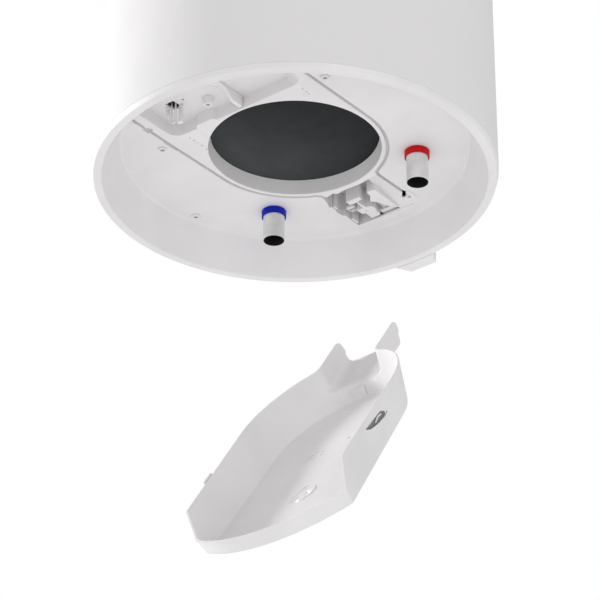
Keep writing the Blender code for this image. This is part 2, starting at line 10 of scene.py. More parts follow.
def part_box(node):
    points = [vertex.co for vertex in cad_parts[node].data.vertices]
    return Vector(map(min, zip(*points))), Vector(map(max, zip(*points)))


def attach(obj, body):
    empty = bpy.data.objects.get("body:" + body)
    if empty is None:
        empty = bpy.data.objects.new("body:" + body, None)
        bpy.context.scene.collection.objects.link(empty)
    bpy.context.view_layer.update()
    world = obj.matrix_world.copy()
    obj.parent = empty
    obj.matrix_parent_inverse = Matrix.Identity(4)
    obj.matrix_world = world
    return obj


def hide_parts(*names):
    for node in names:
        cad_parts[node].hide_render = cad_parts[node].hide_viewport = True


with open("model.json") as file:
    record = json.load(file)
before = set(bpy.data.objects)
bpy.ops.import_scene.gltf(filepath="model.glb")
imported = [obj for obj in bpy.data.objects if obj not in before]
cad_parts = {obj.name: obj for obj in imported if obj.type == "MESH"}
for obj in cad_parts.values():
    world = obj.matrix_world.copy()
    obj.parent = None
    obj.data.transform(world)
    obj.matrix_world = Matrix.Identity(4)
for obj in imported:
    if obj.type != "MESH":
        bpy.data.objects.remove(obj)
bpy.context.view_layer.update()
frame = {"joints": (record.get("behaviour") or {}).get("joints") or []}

MM = 0.001
JACKET_LOW, JACKET_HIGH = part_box("outer_jacket")
CAP_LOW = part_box("bottom_cap")[0]
LID_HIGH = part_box("top_cap")[1]
AXIS = Vector(((JACKET_LOW.x + JACKET_HIGH.x) / 2, (JACKET_LOW.y + JACKET_HIGH.y) / 2, CAP_LOW.z))
HEATER = Matrix.Translation(AXIS) @ Matrix.Scale(MM, 4)

DROP = next(joint for joint in frame["joints"] if joint["name"] == "cover_drop")
DROP_AXIS = Vector(DROP["pos_m"])
DROP_TURN = Matrix.Rotation(-math.radians(DROP["range_deg"][0]), 4, "X")
COVER = Matrix.Translation(DROP_AXIS) @ DROP_TURN @ Matrix.Translation(-DROP_AXIS) @ HEATER

# Sizes in millimetres on the heater's own axis, from the frame.
JACKET_R = (JACKET_HIGH.x - JACKET_LOW.x) / 2 / MM
JACKET_FOOT = (JACKET_LOW.z - AXIS.z) / MM
JACKET_TOP = (JACKET_HIGH.z - AXIS.z) / MM
LID_TOP = (LID_HIGH.z - AXIS.z) / MM
WALL_Y = (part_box("wall_bracket")[1].y - AXIS.y) / MM
SEAM_Z = 8.0
RIM_R = 250.3
LIP_R = 240.0
FLOOR_R = 217.8
FLOOR_Z = 48.0
WALL = 3.0
HOLE_R = 108.3
COLLAR_R = 105.8
DISC_Z = 68.3
PIPE_X, PIPE_Y = 115.0, 100.0
PIPE_R, PIPE_BORE = 13.7, 12.9
RING_R = 15.8
POCKET_Z = 65.2
WELL_X0, WELL_X1, WELL_Y0, WELL_Y1, WELL_Z = -51.0, 43.5, 114.0, 193.5, 82.0

COVER_HALF, COVER_FRONT_Y, COVER_CORNER_Y = 116.8, -172.0, -194.0
NECK_HALF, NECK_END_Y, NECK_FILLET = 45.2, 180.0, 12.0
COVER_RIM_Z, COVER_BOTTOM_Z, COVER_WALL, COVER_BOW = 49.5, -3.0, 2.5, 30.0
COVER_DRAFT, CORNER_DRAFT, NECK_DRAFT = 18.0, 9.0, 8.0
COVER_FRONT_RIM_Z, SHELF_Z, EAR_FILLET = 17.4, 18.8, 14.0
TRAY_CORNER_Y = -196.0
# The groove in the cap. Its lines run on to the front, past the floor, and are trimmed to it.
GROOVE_HALF, GROOVE_TOP, GROOVE_BOW = 2.1, 53.0, 15.0
GROOVE_OUTER_Y, GROOVE_INNER_Y = -230.0, -240.0
# Room between neighbouring pieces, and the radius inside which the cap and the lid meet the jacket.
GAP = 0.3
SLEEVE_R = JACKET_R - 1.7

ROUND = 240
SMALL = 64
SHARP_EDGE = math.radians(32.0)
LAMP_DISTANCE = 4.0


# ---- plan shapes
def arc(centre, radius, start, end, count):
    """Points on a circle from one angle to another, in degrees."""
    points = []
    for i in range(count + 1):
        angle = math.radians(start + (end - start) * i / count)
        points.append((centre[0] + radius * math.cos(angle), centre[1] + radius * math.sin(angle)))
    return points


def fillet(points, radius, steps=5):
    """Round the corners of a polygon; radius is one number or one per corner."""
    count = len(points)
    made = []
    for i, point in enumerate(points):
        size = radius[i] if isinstance(radius, (list, tuple)) else radius
        if size <= 0:
            made.append(tuple(point))
            continue
        here = Vector(point)
        before = Vector(points[i - 1]) - here
        after = Vector(points[(i + 1) % count]) - here
        half = before.angle(after) / 2
        reach = min(size / math.tan(half), before.length * 0.49, after.length * 0.49)
        start, end = here + before.normalized() * reach, here + after.normalized() * reach
        for k in range(steps + 1):
            t = k / steps
            made.append(tuple(start * (1 - t) ** 2 + here * 2 * t * (1 - t) + end * t ** 2))
    return made


def offset(points, distance):
    """Move the outline of an anticlockwise polygon outwards by a distance."""
    count = len(points)
    made = []
    for i, point in enumerate(points):
        before = Vector(point) - Vector(points[i - 1])
        after = Vector(points[(i + 1) % count]) - Vector(point)
        first = Vector((before.y, -before.x)).normalized()
        second = Vector((after.y, -after.x)).normalized()
        middle = (first + second) / max(1.0 + first.dot(second), 0.3)
        made.append((point[0] + middle.x * distance, point[1] + middle.y * distance))
    return made


def rectangle(x0, y0, x1, y1):
    """Corners of a rectangle, anticlockwise."""
    return [(x0, y0), (x1, y0), (x1, y1), (x0, y1)]


def at_height(points, z):
    """A plan outline lifted to one height."""
    return [(x, y, z) for x, y in points]


# ---- meshes
def to_object(name, shape, place=HEATER):
    """Turn a bmesh in millimetres into a scene object whose mesh is in the frame's metres."""
    bmesh.ops.recalc_face_normals(shape, faces=shape.faces)
    bmesh.ops.transform(shape, matrix=place, verts=shape.verts)
    mesh = bpy.data.meshes.new(name)
    shape.to_mesh(mesh)
    shape.free()
    piece = bpy.data.objects.new(name, mesh)
    bpy.context.scene.collection.objects.link(piece)
    return piece


def loft(name, loops, place=HEATER, capped=True):
    """Join outlines that have the same number of points; the first and last are closed over."""
    shape = bmesh.new()
    rings = [[shape.verts.new(point) for point in loop] for loop in loops]
    count = len(rings[0])
    pairs = list(zip(rings, rings[1:]))
    if not capped:
        pairs.append((rings[-1], rings[0]))
    for low, high in pairs:
        for i in range(count):
            k = (i + 1) % count
            shape.faces.new((low[i], low[k], high[k], high[i]))
    if capped:
        shape.faces.new(reversed(rings[0]))
        shape.faces.new(rings[-1])
    return to_object(name, shape, place)


def slab(name, outline, low, high, edge=0.4, place=HEATER):
    """A flat plate with softened edges."""
    inner = offset(outline, -edge)
    loops = [at_height(inner, low), at_height(outline, low + edge)]
    loops += [at_height(outline, high - edge), at_height(inner, high)]
    return loft(name, loops, place)


def upright_slab(name, outline, near, far, edge):
    """A plate standing across the heater: its outline is in x and z, its thickness along y."""
    inner = offset(outline, -edge) if edge else outline
    loops = [[(x, near, z) for x, z in inner], [(x, near + edge, z) for x, z in outline]]
    loops += [[(x, far - edge, z) for x, z in outline], [(x, far, z) for x, z in inner]]
    if not edge:
        loops = [loops[0], loops[3]]
    return loft(name, loops)


def across_slab(name, outline, left, right, place=COVER):
    """A block whose outline is in y and z and whose thickness runs along x."""
    return loft(name, [[(x, y, z) for y, z in outline] for x in (left, right)], place)


def turned(name, profile, centre=(0.0, 0.0), steps=ROUND, place=HEATER):
    """Turn a closed profile of (radius, height) about an upright axis."""
    shape = bmesh.new()
    rings = []
    for radius, z in profile:
        if radius <= 0:
            rings.append([shape.verts.new((centre[0], centre[1], z))])
            continue
        loop = arc(centre, radius, 0, 360, steps)[:-1]
        rings.append([shape.verts.new((x, y, z)) for x, y in loop])
    open_ends = profile[0][0] <= 0 and profile[-1][0] <= 0
    pairs = list(zip(rings, rings[1:]))
    if not open_ends:
        pairs.append((rings[-1], rings[0]))
    for low, high in pairs:
        for i in range(steps):
            k = (i + 1) % steps
            corners = [low[i % len(low)], low[k % len(low)], high[k % len(high)], high[i % len(high)]]
            kept = list(dict.fromkeys(corners))
            if len(kept) > 2:
                shape.faces.new(kept)
    return to_object(name, shape, place)


def rod(name, radius, low, high, centre, edge=0.3, steps=SMALL, place=HEATER):
    """An upright cylinder with softened ends."""
    profile = [(0, low), (radius - edge, low), (radius, low + edge)]
    profile += [(radius, high - edge), (radius - edge, high), (0, high)]
    return turned(name, profile, centre, steps, place)


def swept(name, path, radius, place=HEATER, steps=12):
    """A round bar with rounded ends along a path of points."""
    shape = bmesh.new()
    points = [Vector(point) for point in path]
    side = Vector((0, 0, 1))
    if abs((points[1] - points[0]).normalized().dot(side)) > 0.9:
        side = Vector((1, 0, 0))
    rings = []
    for i, point in enumerate(points):
        ahead = points[min(i + 1, len(points) - 1)] - points[max(i - 1, 0)]
        ahead.normalize()
        first = side.cross(ahead).normalized()
        second = ahead.cross(first)
        side = first.cross(ahead) * -1
        grip = 0.6 if i in (0, len(points) - 1) else 1.0
        ring = []
        for k in range(steps):
            angle = 2 * math.pi * k / steps
            spot = point + (first * math.cos(angle) + second * math.sin(angle)) * radius * grip
            ring.append(shape.verts.new(spot))
        rings.append(ring)
    for low, high in zip(rings, rings[1:]):
        for i in range(steps):
            k = (i + 1) % steps
            shape.faces.new((low[i], low[k], high[k], high[i]))
    shape.faces.new(reversed(rings[0]))
    shape.faces.new(rings[-1])
    return to_object(name, shape, place)


def carve(piece, tool, operation="DIFFERENCE"):
    """Cut or join a piece with a tool, which is used up."""
    modifier = piece.modifiers.new("carve", "BOOLEAN")
    modifier.operation = operation
    modifier.solver = "EXACT"
    modifier.object = tool
    graph = bpy.context.evaluated_depsgraph_get()
    mesh = bpy.data.meshes.new_from_object(piece.evaluated_get(graph))
    piece.modifiers.clear()
    old = piece.data
    piece.data = mesh
    bpy.data.meshes.remove(old)
    bpy.data.objects.remove(tool, do_unlink=True)
    return piece


def join(name, pieces):
    """Put several separate solids into one object."""
    shape = bmesh.new()
    for piece in pieces:
        shape.from_mesh(piece.data)
        bpy.data.objects.remove(piece, do_unlink=True)
    return to_object(name, shape, Matrix.Identity(4))


def pit(name, mouth, roof, top, flare=0.7, round_off=1.2):
    """A cutting tool for a sunk pocket: a flared mouth at the floor and a rounded roof edge."""
    loops = [at_height(offset(mouth, flare), FLOOR_Z - 4), at_height(offset(mouth, flare), FLOOR_Z)]
    loops.append(at_height(offset(mouth, flare * 0.3), FLOOR_Z + flare * 0.3))
    loops += [at_height(mouth, FLOOR_Z + flare), at_height(roof, top - round_off)]
    loops.append(at_height(offset(roof, -round_off * 0.3), top - round_off * 0.3))
    loops.append(at_height(offset(roof, -round_off), top))
    return loft(name, loops)


def finish_piece(piece, body, node, material):
    """Shade a piece, give it its material and say which body it rides on and which node it replaces."""
    mesh = piece.data
    mesh.materials.clear()
    mesh.materials.append(material)
    mesh.shade_smooth()
    mesh.set_sharp_from_angle(angle=SHARP_EDGE)
    weigh = piece.modifiers.new("even shading", "WEIGHTED_NORMAL")
    weigh.keep_sharp = True
    weigh.mode = "FACE_AREA"
    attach(piece, body)
    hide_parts(node)
    return piece


def finish_moulding(piece, node):
    """Finish a white plastic part of the heater itself."""
    return finish_piece(piece, "heater", node, PLASTIC)


# ---- materials
def new_material(name, colour, roughness, metallic=0.0, specular=0.5, coat=0.0, coat_roughness=0.1):
    """A Principled material, its tree, and its shader."""
    material = bpy.data.materials.new(name)
    material.use_nodes = True
    material.diffuse_color = (*colour, 1.0)
    tree = material.node_tree
    shader = tree.nodes["Principled BSDF"]
    shader.inputs["Base Color"].default_value = (*colour, 1.0)
    shader.inputs["Roughness"].default_value = roughness
    shader.inputs["Metallic"].default_value = metallic
    shader.inputs["Specular IOR Level"].default_value = specular
    shader.inputs["Coat Weight"].default_value = coat
    shader.inputs["Coat Roughness"].default_value = coat_roughness
    return material, tree, shader


def noise(tree, scale, detail=2.0, roughness=0.5, stretch=None):
    """A noise texture in the frame's metres."""
    place = tree.nodes.new("ShaderNodeTexCoord")
    texture = tree.nodes.new("ShaderNodeTexNoise")
    texture.inputs["Scale"].default_value = scale
    texture.inputs["Detail"].default_value = detail
    texture.inputs["Roughness"].default_value = roughness
    source = place.outputs["Object"]
    if stretch:
        mapping = tree.nodes.new("ShaderNodeMapping")
        mapping.inputs["Scale"].default_value = stretch
        tree.links.new(source, mapping.inputs["Vector"])
        source = mapping.outputs["Vector"]
    tree.links.new(source, texture.inputs["Vector"])
    return texture.outputs["Fac"]


def spread(tree, value, low, high, start=0.35, end=0.65):
    """Map a noise value between two numbers."""
    node = tree.nodes.new("ShaderNodeMapRange")
    node.inputs["From Min"].default_value = start
    node.inputs["From Max"].default_value = end
    node.inputs["To Min"].default_value = low
    node.inputs["To Max"].default_value = high
    tree.links.new(value, node.inputs["Value"])
    return node.outputs["Result"]


def blend_colours(tree, factor, first, second):
    """Mix two colours, or a socket and a colour, by a value."""
    node = tree.nodes.new("ShaderNodeMix")
    node.data_type = "RGBA"
    tree.links.new(factor, node.inputs["Factor"])
    for socket, colour in ((node.inputs[6], first), (node.inputs[7], second)):
        if isinstance(colour, tuple):
            socket.default_value = (*colour, 1.0)
        else:
            tree.links.new(colour, socket)
    return node.outputs[2]


def combine(tree, operation, *values):
    """A Math node over sockets and numbers."""
    node = tree.nodes.new("ShaderNodeMath")
    node.operation = operation
    for socket, value in zip(node.inputs, values):
        if isinstance(value, float):
            socket.default_value = value
        else:
            tree.links.new(value, socket)
    return node.outputs[0]


def bump(tree, shader, layers):
    """Chain bumps of (value, height in millimetres, strength) into the shader's normal."""
    normal = None
    for value, height, strength in layers:
        node = tree.nodes.new("ShaderNodeBump")
        node.inputs["Strength"].default_value = strength
        node.inputs["Distance"].default_value = height * MM
        tree.links.new(value, node.inputs["Height"])
        if normal:
            tree.links.new(normal, node.inputs["Normal"])
        normal = node.outputs["Normal"]
    tree.links.new(normal, shader.inputs["Normal"])


def plastic(name, colour, roughness=0.42, grain=0.05, specks=0.02, specular=0.45):
    """Moulded plastic: fine spark-eroded grain, slight flow marks and uneven gloss."""
    material, tree, shader = new_material(name, colour, roughness, specular=specular)
    darker = tuple(channel * 0.955 for channel in colour)
    lighter = tuple(min(channel * 1.025, 1.0) for channel in colour)
    flow = spread(tree, noise(tree, 9.0, 3.0, 0.55), 0.0, 1.0)
    fine = noise(tree, 1500.0, 2.0, 0.6)
    tone = blend_colours(tree, flow, darker, lighter)
    dark_speck = tuple(channel * (1.0 - specks * 4) for channel in colour)
    speck = spread(tree, noise(tree, 620.0, 1.0), 0.0, specks * 6, 0.62, 0.8)
    tree.links.new(blend_colours(tree, speck, tone, dark_speck), shader.inputs["Base Color"])
    gloss = spread(tree, noise(tree, 35.0, 4.0, 0.6), roughness - 0.05, roughness + 0.07)
    tree.links.new(gloss, shader.inputs["Roughness"])
    bump(tree, shader, [(noise(tree, 60.0, 2.0), 0.05, 0.12), (fine, grain, 0.35)])
    return material


def enamel(name, colour):
    """Powder-coated sheet steel: orange peel, a soft clear top and faint unevenness."""
    material, tree, shader = new_material(name, colour, 0.36, coat=0.22, coat_roughness=0.22)
    darker = tuple(channel * 0.975 for channel in colour)
    tone = blend_colours(tree, spread(tree, noise(tree, 3.5, 3.0), 0.0, 1.0), darker, colour)
    tree.links.new(tone, shader.inputs["Base Color"])
    gloss = spread(tree, noise(tree, 14.0, 4.0, 0.6), 0.33, 0.42)
    tree.links.new(gloss, shader.inputs["Roughness"])
    peel = noise(tree, 260.0, 2.0, 0.4)
    bump(tree, shader, [(noise(tree, 2.2, 1.0), 0.6, 0.05), (peel, 0.05, 0.16)])
    return material


def metal(name, colour, roughness=0.34, metallic=1.0):
    """Drawn or plated metal: fine streaks, a faint bloom and uneven gloss."""
    material, tree, shader = new_material(name, colour, roughness, metallic=metallic)
    darker = tuple(channel * 0.86 for channel in colour)
    lines = noise(tree, 900.0, 3.0, 0.6, (1.0, 1.0, 0.05))
    bloom = spread(tree, noise(tree, 42.0, 4.0, 0.6), 0.0, 1.0)
    tree.links.new(blend_colours(tree, bloom, darker, colour), shader.inputs["Base Color"])
    tree.links.new(spread(tree, lines, roughness - 0.07, roughness + 0.09), shader.inputs["Roughness"])
    bump(tree, shader, [(lines, 0.05, 0.25)])
    return material


def disc_material():
    """Dark satin sheet, painted lighter towards its left as painted reflected light, with faint random
    unevenness.
    """
    material, tree, shader = new_material("dark_sheet", (0.03, 0.031, 0.033), 0.40, specular=0.12)
    place = tree.nodes.new("ShaderNodeTexCoord")
    split = tree.nodes.new("ShaderNodeSeparateXYZ")
    tree.links.new(place.outputs["Object"], split.inputs[0])
    # Painted light: the colour runs from near black on the right to dark grey on the left, standing in for
    # reflected light.
    slant = combine(tree, "MULTIPLY_ADD", split.outputs["X"], -2.6, split.outputs["Y"])
    side = combine(tree, "POWER", spread(tree, slant, 0.0, 1.0, AXIS.y - 0.28, AXIS.y + 0.28), 2.0)
    painted_light_side = combine(tree, "MULTIPLY", side, spread(tree, noise(tree, 24.0, 4.0, 0.6), 0.85, 1.15))
    tone = blend_colours(tree, painted_light_side, (0.005, 0.006, 0.0075), (0.058, 0.062, 0.064))
    tree.links.new(tone, shader.inputs["Base Color"])
    gloss = spread(tree, noise(tree, 70.0, 4.0, 0.6), 0.36, 0.46)
    tree.links.new(gloss, shader.inputs["Roughness"])
    bump(tree, shader, [(noise(tree, 1300.0, 2.0), 0.02, 0.25)])
    return material


def foam_material():
    """Cut polyurethane foam."""
    material, tree, shader = new_material("foam_cells", (0.75, 0.66, 0.36), 0.9)
    cells = noise(tree, 700.0, 4.0, 0.7)
    tone = blend_colours(tree, spread(tree, cells, 0.0, 1.0), (0.60, 0.50, 0.24), (0.80, 0.71, 0.42))
    tree.links.new(tone, shader.inputs["Base Color"])
    bump(tree, shader, [(cells, 0.5, 0.6)])
    return material


WHITE = (0.790, 0.776, 0.783)
PLASTIC = plastic("white_moulding", WHITE)
COVER_PLASTIC = plastic("white_cover", WHITE, roughness=0.40)
ENAMEL = enamel("white_powder_coat", (0.795, 0.781, 0.788))
PIPE = metal("grey_pipe", (0.80, 0.797, 0.79), 0.46, metallic=0.02)
# Near-black painted shade for the inside of the open pipe stubs, which are dark there only from shade.
PIPE_BORE_PAINTED_SHADE = plastic("pipe_bore_painted_shade", (0.004, 0.004, 0.004), roughness=0.8)
STEEL = metal("zinc_steel", (0.58, 0.58, 0.57))
BLUE = plastic("blue_ring", (0.004, 0.012, 0.40), roughness=0.5, specks=0.01, specular=0.15)
RED = plastic("red_ring", (0.56, 0.006, 0.010), roughness=0.5, specks=0.01, specular=0.15)
BLACK = plastic("black_moulding", (0.028, 0.028, 0.031), roughness=0.5)
# Mid-grey painted shade, for the sheet set behind the cover's window.
PAINTED_SHADE_GREY = plastic("painted_shade_grey_moulding", (0.27, 0.27, 0.272), roughness=0.55)
BUTTON = plastic("red_button", (0.55, 0.02, 0.02), roughness=0.35)
RUBBER = plastic("black_rubber", (0.025, 0.025, 0.025), roughness=0.75, grain=0.1)
DISC = disc_material()
TANK = enamel("blue_black_enamel", (0.05, 0.08, 0.16))
COPPER = metal("copper_tube", (0.72, 0.38, 0.24), 0.3)
ANODE = metal("magnesium_rod", (0.50, 0.50, 0.49), 0.6)
FOAM = foam_material()


# ---- the jacket
def jacket_pieces():
    """The painted shell with its rolled hem, and the lid."""
    wall, hem = 1.2, 1.4
    inner = JACKET_R - wall
    low, high = JACKET_FOOT, JACKET_TOP
    profile = [
        (inner, low + hem), (inner + 0.15, low + 0.5), (inner + 0.45, low), (JACKET_R - 0.35, low),
        (JACKET_R, low + 0.4), (JACKET_R, low + 60), (JACKET_R, (low + high) / 2), (JACKET_R, high - 60),
        (JACKET_R, high - 0.4), (JACKET_R - 0.35, high), (inner, high),
    ]
    shell = turned("jacket_shell", profile)
    finish_piece(shell, "heater", "outer_jacket", ENAMEL)

    edge = JACKET_TOP + GAP
    outer = JACKET_R - GAP
    crown = [(0.0, LID_TOP), (90.0, LID_TOP - 0.2), (150.0, LID_TOP - 1.0), (190.0, LID_TOP - 2.4)]
    crown += [(215.0, LID_TOP - 5.0), (232.0, LID_TOP - 9.5), (243.0, LID_TOP - 15.5)]
    crown += [(249.5, LID_TOP - 20.5), (outer - 0.2, edge + 5.0), (outer, edge + 3.4)]
    crown += [(outer, edge + 0.4), (outer - 0.4, edge)]
    under = [(SLEEVE_R, edge), (SLEEVE_R, edge - 18), (SLEEVE_R - WALL, edge - 18)]
    under += [(SLEEVE_R - WALL, edge + 3.0), (240.0, LID_TOP - 17.0), (213.0, LID_TOP - 8.0)]
    under += [(188.0, LID_TOP - 5.2), (0.0, LID_TOP - WALL)]
    lid = turned("lid_moulding", crown + under)
    ring = [(198.0, LID_TOP - 1.0), (199.0, LID_TOP - 3.7), (201.0, LID_TOP - 4.1), (202.5, LID_TOP - 1.0)]
    carve(lid, turned("lid_groove", ring))
    finish_moulding(lid, "top_cap")


# ---- the bottom cap
def neck_corner():
    """Centre of the groove's fillet where the round waist meets the neck, and its angle."""
    x = NECK_HALF + NECK_FILLET
    y = math.sqrt((COVER_HALF + NECK_FILLET) ** 2 - x ** 2)
    return (x, y), math.degrees(math.atan2(y, x))


def bowed_edge(half, corner_y, bow, count):
    """A shallow arc from (-half, corner_y) to (half, corner_y), bowed to the front."""
    radius = (half ** 2 + bow ** 2) / (2 * bow)
    reach = math.degrees(math.asin(half / radius))
    return arc((0, corner_y - bow + radius), radius, 270 - reach, 270 + reach, count)


def groove_line(inset, corner_y):
    """The line of the cover's rim in plan, anticlockwise, moved inwards; its front lies at corner_y."""
    centre, angle = neck_corner()
    half = COVER_HALF - inset
    right = arc((0, 0), half, 0, angle, 36)
    right += arc(centre, NECK_FILLET + inset, 180 + angle, 180, 10)[1:]
    end_y = NECK_END_Y - max(inset, 0.0)
    for i in range(1, 9):
        right.append((NECK_HALF - inset, right[-1][1] + (end_y - right[-1][1]) / (9 - i)))
    left = [(-x, y) for x, y in reversed(right)]
    side = [(-half, corner_y * i / 12) for i in range(1, 12)]
    front = bowed_edge(half, corner_y, GROOVE_BOW, 40)
    return right + left + side + front + [(-x, y) for x, y in reversed(side)]


def groove_tool():
    """The cutting tool for the groove that takes the cover's rim."""
    middle, flare = COVER_WALL / 2, 0.5
    levels = [(flare, FLOOR_Z - 5), (flare, FLOOR_Z), (0.0, FLOOR_Z + flare), (0.0, GROOVE_TOP)]
    outer = [at_height(groove_line(middle - GROOVE_HALF - extra, GROOVE_OUTER_Y), z) for extra, z in levels]
    inner = [at_height(groove_line(middle + GROOVE_HALF + extra, GROOVE_INNER_Y), z) for extra, z in levels]
    tool = loft("groove_tool", outer + inner[::-1], capped=False)
    keep = rod("groove_keep", FLOOR_R - 7.5, FLOOR_Z - 9, GROOVE_TOP + 9, (0, 0), 0.0, ROUND)
    return carve(tool, keep, "INTERSECT")


def pocket_mouth(tab=True):
    """The pocket's outline at the floor: a crescent with rounded ends, and a tab on its inner side."""
    outer = FLOOR_R - 7.0
    left, right, inner = -100.7, 103.8, -111.6
    left_angle = 180 + math.degrees(math.acos(-left / outer))
    right_angle = 360 - math.degrees(math.acos(right / outer))
    front = arc((0, 0), outer, left_angle, right_angle, 40)
    inside = [(-33.5, inner), (-36.0, inner - 5.4), (-61.0, inner - 5.4), (-66.0, inner)] if tab else []
    radii = [0, 19.0, 2.0, 1.2, 1.2, 2.0, 21.0, 0] if tab else [0, 19.0, 21.0, 0]
    soft = fillet([front[-1], (right, inner)] + inside + [(left, inner), front[0]], radii, 9)
    return front[1:-1] + soft


def pocket_roof(mouth):
    """The pocket's outline at its roof: its right end slopes inwards."""
    made = []
    for x, y in mouth:
        slope = max(0.0, min(1.0, (x - 35.0) / 69.0))
        made.append((x - 20.0 * slope * slope, y))
    return made


def cap_profile():
    """Half section of the cap: outer skirt, lip, inner skirt, floor and collar."""
    corners = [
        (SLEEVE_R, 30.0), (SLEEVE_R, JACKET_FOOT - 0.08), (JACKET_R - 0.2, JACKET_FOOT - 0.08),
        (RIM_R - 0.2, 0.4), (LIP_R - 0.5, 0.0), (FLOOR_R, FLOOR_Z), (HOLE_R, FLOOR_Z),
        (COLLAR_R, DISC_Z - GAP), (COLLAR_R + WALL, DISC_Z - GAP),
        (HOLE_R + WALL, FLOOR_Z + WALL), (FLOOR_R + 1.0, FLOOR_Z + WALL), (LIP_R + 2.6, WALL),
        (RIM_R - WALL, WALL + 0.6), (SLEEVE_R - WALL, SEAM_Z + 2), (SLEEVE_R - WALL, 30.0),
    ]
    radii = [0.3, 0.3, 0.5, 2.2, 2.4, 7.0, 1.1, 0.4, 0.4, 2.0, 6.0, 2.0, 2.0, 2.0, 0.3]
    return fillet(corners, radii, 6)


def cap_piece():
    """The moulded cap with its groove, pocket, well, holes and marks."""
    cap = turned("cap_moulding", cap_profile())
    middle = COVER_WALL / 2
    rib = GROOVE_HALF + WALL
    low, high = FLOOR_Z + 1.0, GROOVE_TOP + WALL
    outer = groove_line(middle - rib, GROOVE_OUTER_Y)
    inner = groove_line(middle + rib, GROOVE_INNER_Y)
    band = [at_height(outer, low), at_height(outer, high), at_height(inner, high), at_height(inner, low)]
    ribs = loft("groove_ribs", band, capped=False)
    keep = rod("rib_keep", FLOOR_R - 6.0, FLOOR_Z - 9, GROOVE_TOP + 9, (0, 0), 0.0, ROUND)
    carve(cap, carve(ribs, keep, "INTERSECT"), "UNION")
    mouth = pocket_mouth()
    roof = pocket_roof(mouth)
    plain = pocket_mouth(tab=False)
    outside = [at_height(offset(plain, WALL), low)]
    outside += [at_height(offset(pocket_roof(plain), WALL), POCKET_Z + WALL)]
    carve(cap, loft("pocket_walls", outside), "UNION")
    well_outside = rectangle(WELL_X0 - WALL, WELL_Y0 - WALL, WELL_X1 + WALL, WELL_Y1 + WALL)
    carve(cap, slab("well_walls", well_outside, low, WELL_Z + WALL), "UNION")
    catch = fillet(rectangle(35.5, 166.0, 51.5, 186.0), 2.0)
    carve(cap, slab("ear_catch", catch, FLOOR_Z - 1.2, FLOOR_Z + 1.0, 0.5), "UNION")
    carve(cap, pit("pocket_tool", mouth, roof, POCKET_Z))
    carve(cap, well_tool())
    carve(cap, groove_tool())
    carve(cap, slab("ear_slot", rectangle(41.9, 160.0, 46.3, 181.5), FLOOR_Z - 20, GROOVE_TOP, 0.1))
    for side in (-1, 1):
        centre = (side * PIPE_X, PIPE_Y)
        carve(cap, rod("pipe_hole", PIPE_R + 0.6, 30, 70, centre, 0.0))
    carve_marks(cap)
    carve_passage(cap)
    carve_lines(cap)
    return finish_moulding(cap, "bottom_cap")


def well_tool():
    """The cutting tool for the cable well, whose mouth steps in and out along its left side."""
    mouth = [(-50.8, 147.6), (-50.2, 138.5), (-53.3, 137.0), (-46.0, 118.4), (-41.5, 115.2), (-28.5, 112.6)]
    mouth += [(-24.6, 116.8), (-11.0, 114.9), (10.9, 115.6), (23.4, 114.5), (31.4, 112.0), (40.0, 112.0)]
    mouth += [(42.6, 115.5), (41.0, 196.5), (-16.6, 196.5), (-51.0, 195.6), (-50.5, 179.6), (-49.5, 166.8)]
    mouth += [(-52.1, 163.8), (-53.1, 150.5)]
    mouth = fillet(mouth[::-1], 0.8, 3)
    return pit("well_tool", mouth, mouth, WELL_Z, 0.3, 0.8)


def carve_marks(cap):
    """Notch for the cover's latch, the hook's hole, small holes and plain mould dots."""
    notch = fillet([(-119.8, -152.0), (-109.5, -150.0), (-109.5, -142.5), (-119.8, -141.0)], 0.8)
    carve(cap, slab("latch_notch", notch, FLOOR_Z - 4, FLOOR_Z + 4.2, 0.1))
    hole = [(-78.2, -157.5), (-65.0, -157.5), (-65.0, -141.0), (-77.0, -141.0), (-78.2, -148)]
    carve(cap, slab("hook_hole", fillet(hole, 0.8), POCKET_Z - 6, POCKET_Z + 9, 0.1))
    for radius, x, y, low in ((1.5, -117.2, -169.6, 44.0), (1.6, -53.8, -152.2, 60.0)):
        carve(cap, rod("small_hole", radius, low, low + 12, (x, y), 0.0, 24))
    dots = [(-85.3, -101.0, 1.2), (-85.1, -93.5, 1.6), (-85.3, -87.0, 0.9), (-85.5, -78.2, 1.6)]
    dots += [(-86.4, -68.4, 1.3), (91.5, -99.0, 1.1), (91.0, -91.6, 1.2), (90.4, -86.0, 1.0)]
    for x, y, radius in dots:
        carve(cap, rod("mould_dot", radius, FLOOR_Z - 2.0, FLOOR_Z + 1.3, (x, y), 0.0, 20))


def carve_passage(cap):
    """The sloping cable passage beside the well, its rib, back and end, and the slit next to it."""
    ramp = [(113.0, 62.0), (196.2, 48.3), (196.2, 50.4), (113.0, 64.4)]
    carve(cap, across_slab("passage_ramp", ramp, 17.0, 42.3, HEATER), "UNION")
    carve(cap, slab("neck_rib", rectangle(39.9, 115.0, 41.7, 171.0), FLOOR_Z, 63.0, 0.3), "UNION")
    back = rectangle(-12.0, 189.5, 18.4, 198.0)
    carve(cap, slab("well_back", back, 52.5, WELL_Z + 1.0, 0.5), "UNION")
    end = [(36.0, 181.5), (31.6, 179.7), (45.8, 161.6), (47.7, 166.3)]
    carve(cap, slab("passage_end", end, FLOOR_Z - 14.0, 66.0, 0.0))
    slit = rectangle(43.2, 117.0, 45.0, 165.0)
    carve(cap, slab("neck_slit", slit, FLOOR_Z - 2.0, 61.0, 0.0))


